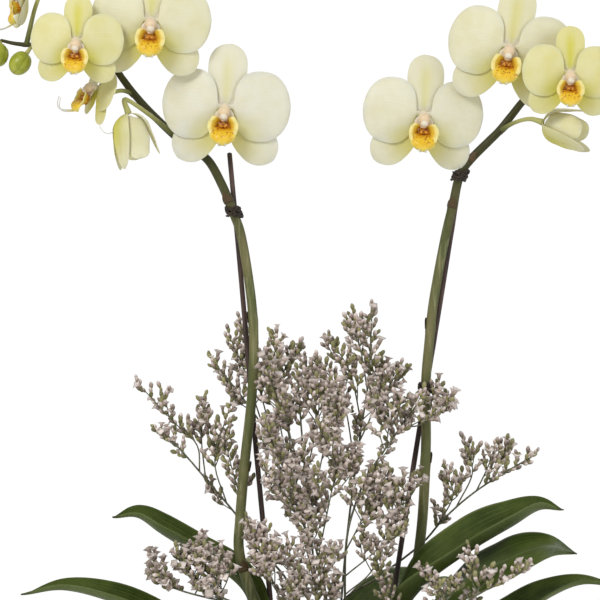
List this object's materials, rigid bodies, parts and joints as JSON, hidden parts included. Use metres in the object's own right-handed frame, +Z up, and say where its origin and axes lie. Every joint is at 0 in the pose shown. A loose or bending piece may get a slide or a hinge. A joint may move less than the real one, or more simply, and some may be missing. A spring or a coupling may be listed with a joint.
{
  "type": "potted orchid",
  "caption": "Moth orchids tied to stakes, with arching strap leaves and sprays of sea lavender, growing together in a plain round glazed vase.",
  "frame": {"origin": "centre of the vase's flat foot, on the surface that it stands on", "axes": "+Z up along the stems; the two flower spikes lean apart along X; the flowers face -Y"},
  "size_m": [0.4237, 0.225, 0.6287],
  "materials": {
    "vase_glaze": "plain white gloss glaze",
    "bark_medium": "coarse orchid bark chips",
    "crown_green": "living plant stem",
    "leaf_green": "living leaf, waxy upper side",
    "stem_green": "living flower stem, satin",
    "stake_brown": "dark stained cane",
    "tie_brown": "dark twisted raffia",
    "bud_green": "living flower bud",
    "petal_cream": "living petal, soft sheen",
    "lip_gold": "living flower lip, waxy",
    "lavender_mauve": "dry papery florets on thin stems"
  },
  "bodies": {
    "root": {"bud_left_1": "bud_green", "bud_left_2": "bud_green", "crown_left": "crown_green", "crown_right": "crown_green", "flower_left_1_lip": "lip_gold", "flower_left_1_petals": "petal_cream", "flower_left_1_sepals": "petal_cream", "flower_left_2_lip": "lip_gold", "flower_left_2_petals": "petal_cream", "flower_left_2_sepals": "petal_cream", "flower_left_3_lip": "lip_gold", "flower_left_3_petals": "petal_cream", "flower_left_3_sepals": "petal_cream", "flower_left_4_lip": "lip_gold", "flower_left_4_petals": "petal_cream", "flower_left_4_sepals": "petal_cream", "flower_left_5_lip": "lip_gold", "flower_left_5_petals": "petal_cream", "flower_left_5_sepals": "petal_cream", "flower_left_6_lip": "lip_gold", "flower_left_6_petals": "petal_cream", "flower_left_6_sepals": "petal_cream", "flower_right_1_lip": "lip_gold", "flower_right_1_petals": "petal_cream", "flower_right_1_sepals": "petal_cream", "flower_right_2_lip": "lip_gold", "flower_right_2_petals": "petal_cream", "flower_right_2_sepals": "petal_cream", "flower_right_3_lip": "lip_gold", "flower_right_3_petals": "petal_cream", "flower_right_3_sepals": "petal_cream", "flower_right_4_lip": "lip_gold", "flower_right_4_petals": "petal_cream", "flower_right_4_sepals": "petal_cream", "growing_medium": "bark_medium", "leaf_left_back": "leaf_green", "leaf_left_front": "leaf_green", "leaf_left_lower": "leaf_green", "leaf_left_upper": "leaf_green", "leaf_right_back": "leaf_green", "leaf_right_front": "leaf_green", "leaf_right_lower": "leaf_green", "leaf_right_middle": "leaf_green", "leaf_right_upper": "leaf_green", "spike_left": "stem_green", "spike_right": "stem_green", "spray_centre_left": "lavender_mauve", "spray_centre_right": "lavender_mauve", "spray_far_left": "lavender_mauve", "spray_far_right": "lavender_mauve", "spray_left": "lavender_mauve", "spray_low_left": "lavender_mauve", "spray_low_right": "lavender_mauve", "spray_right": "lavender_mauve", "stake_left": "stake_brown", "stake_right": "stake_brown", "tie_left": "tie_brown", "tie_right_lower": "tie_brown", "tie_right_upper": "tie_brown", "vase": "vase_glaze"}
  },
  "joints": []
}
